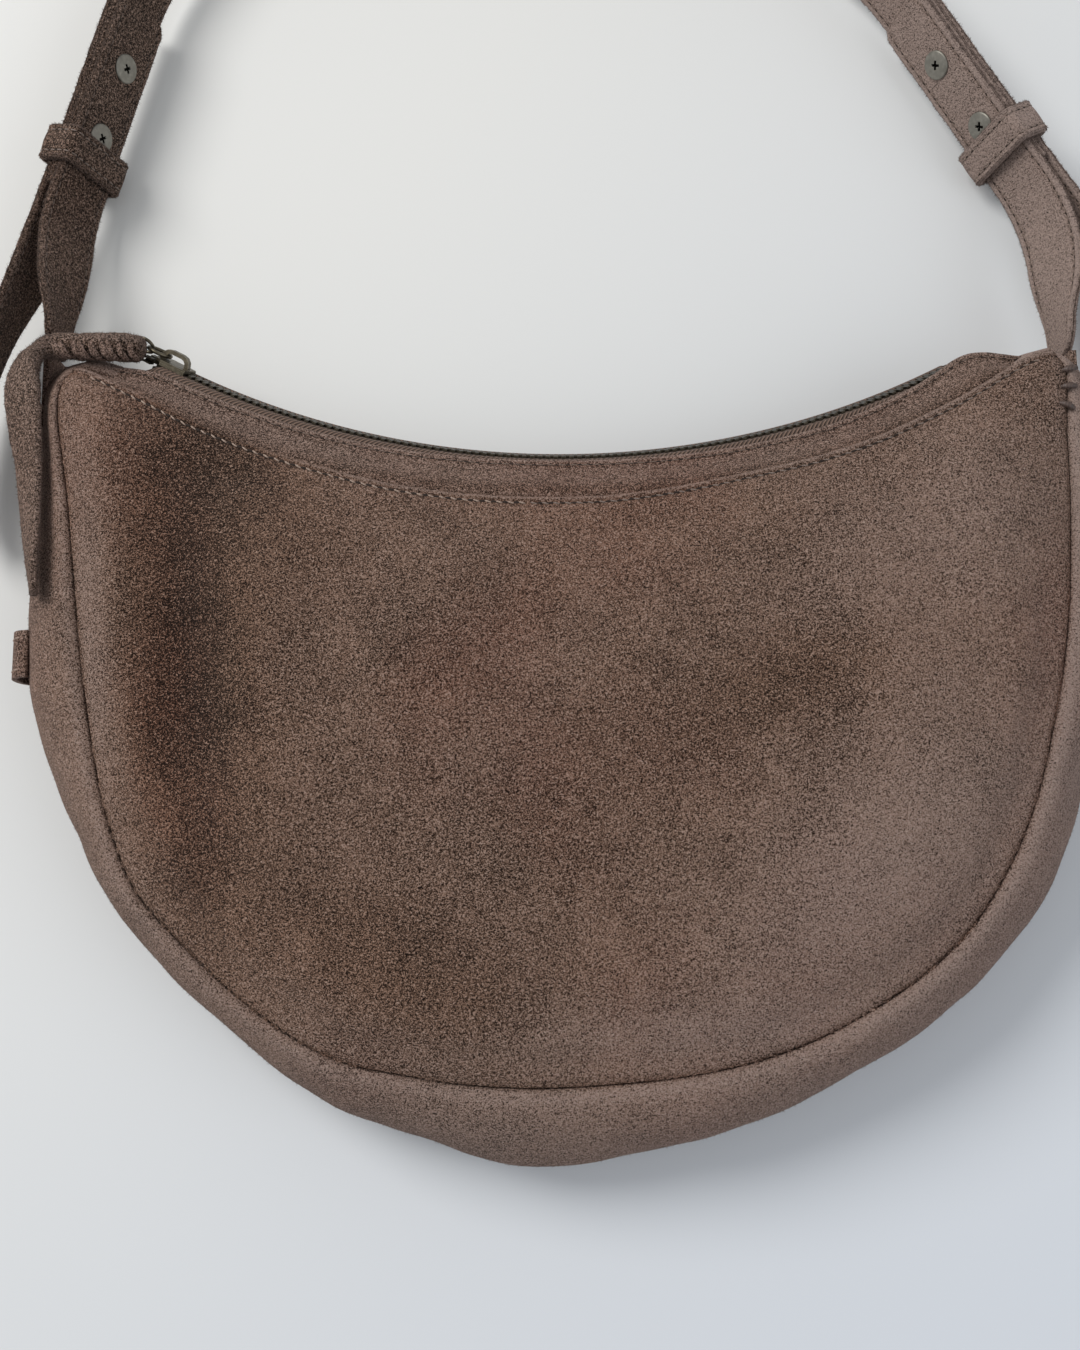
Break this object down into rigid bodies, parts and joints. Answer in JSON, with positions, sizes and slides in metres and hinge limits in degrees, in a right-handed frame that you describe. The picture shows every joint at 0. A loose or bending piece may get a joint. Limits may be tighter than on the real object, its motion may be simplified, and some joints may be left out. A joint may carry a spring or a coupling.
{
  "type": "half moon bag",
  "caption": "Half moon shoulder bag in soft suede with a curved metal zip across the top and a strap screwed to its two ends.",
  "frame": {"origin": "middle of the back panel's flat underside, on which the bag lies", "axes": "+Z out of the front panel, +Y towards the zip and the strap, +X to the right seen from the front"},
  "size_m": [0.4085, 0.4646, 0.0548],
  "materials": {
    "suede": "matte nap, taupe",
    "zip_tape": "woven herringbone",
    "old_brass": "dark antique",
    "nickel": "fine turned"
  },
  "bodies": {
    "bag": {"front_panel": "suede", "back_panel": "suede", "gusset": "suede", "zip_facing_front": "suede", "zip_facing_back": "suede", "zip_tape_front": "zip_tape", "zip_tape_back": "zip_tape", "zip_teeth_front": "old_brass", "zip_teeth_back": "old_brass", "zip_top_stops": "old_brass", "zip_bottom_stop": "old_brass", "side_loop": "suede", "strap_root_left": "suede", "strap_root_right": "suede"},
    "slider": {"slider_body": "old_brass"},
    "pull": {"pull_ring": "old_brass", "pull_link": "old_brass", "pull_tab": "suede"},
    "strap": {"strap_base_left": "suede", "strap_base_right": "suede", "shoulder_strap": "suede", "strap_tail_left": "suede", "strap_tail_right": "suede", "strap_screws": "nickel", "strap_posts": "nickel"},
    "keeper_l": {"keeper_left": "suede"},
    "keeper_r": {"keeper_right": "suede"}
  },
  "joints": [
    {"name": "zip_slide", "type": "hinge", "parent": "bag", "child": "slider", "pos_m": [0, 0.373, 0.026], "axis": [0, 0, 1], "range_deg": [0, 53.4], "deforming": ["zip_teeth_front", "zip_teeth_back"]},
    {"name": "pull_swing", "type": "hinge", "parent": "slider", "child": "pull", "pos_m": [-0.12693, 0.12701, 0.02729], "axis": [-0.1689, -0.3344, 0.9272], "range_deg": [-110, 0], "deforming": ["pull_tab"]},
    {"name": "strap_lift", "type": "hinge", "parent": "bag", "child": "strap", "pos_m": [0, 0.1386, 0.023], "axis": [1, 0, 0], "range_deg": [0, 90], "deforming": ["strap_tail_left", "strap_tail_right"]},
    {"name": "keeper_left_slide", "type": "slide", "parent": "strap", "child": "keeper_l", "axis": [0.2756, 0.9613, 0], "range_m": [-0.006, 0.045]},
    {"name": "keeper_right_slide", "type": "slide", "parent": "strap", "child": "keeper_r", "axis": [-0.5299, 0.848, 0], "range_m": [-0.006, 0.045]}
  ],
  "couplings": [
    {"joint": "pull_swing", "follows": "zip_slide", "ratio": -2.04}
  ]
}
